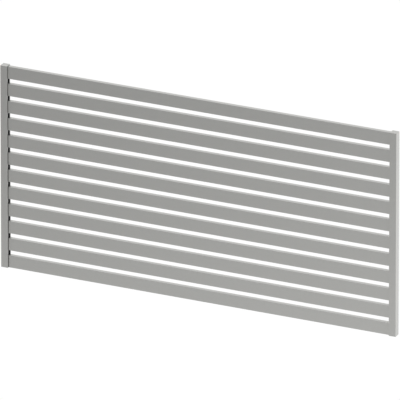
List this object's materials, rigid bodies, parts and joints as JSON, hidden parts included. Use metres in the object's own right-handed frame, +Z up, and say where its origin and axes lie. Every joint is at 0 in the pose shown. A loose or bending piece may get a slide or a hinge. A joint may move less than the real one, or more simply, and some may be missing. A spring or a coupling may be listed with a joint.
{
  "type": "steel slat fence panel",
  "caption": "Flat fence panel of level hollow steel slats with narrow gaps, held by black end rails between two square-tube uprights.",
  "frame": {"origin": "centre of the left upright's outer flat face, at mid height and mid depth", "axes": "+X along the panel towards the right upright, +Y from the front to the back, +Z up"},
  "size_m": [2.35, 0.04, 1.175],
  "materials": {
    "powder_coat": "satin silver-grey metallic powder coat",
    "black_plastic": "matt black moulding"
  },
  "bodies": {
    "root": {"slat_01": "powder_coat", "slat_02": "powder_coat", "slat_03": "powder_coat", "slat_04": "powder_coat", "slat_05": "powder_coat", "slat_06": "powder_coat", "slat_07": "powder_coat", "slat_08": "powder_coat", "slat_09": "powder_coat", "slat_10": "powder_coat", "slat_11": "powder_coat", "slat_12": "powder_coat", "left_upright": "powder_coat", "left_upright_top_cap": "powder_coat", "left_upright_bottom_cap": "powder_coat", "right_upright": "powder_coat", "right_upright_top_cap": "powder_coat", "right_upright_bottom_cap": "powder_coat", "left_slat_rail": "black_plastic", "right_slat_rail": "black_plastic", "left_slat_plugs": "black_plastic", "right_slat_plugs": "black_plastic"}
  },
  "joints": []
}
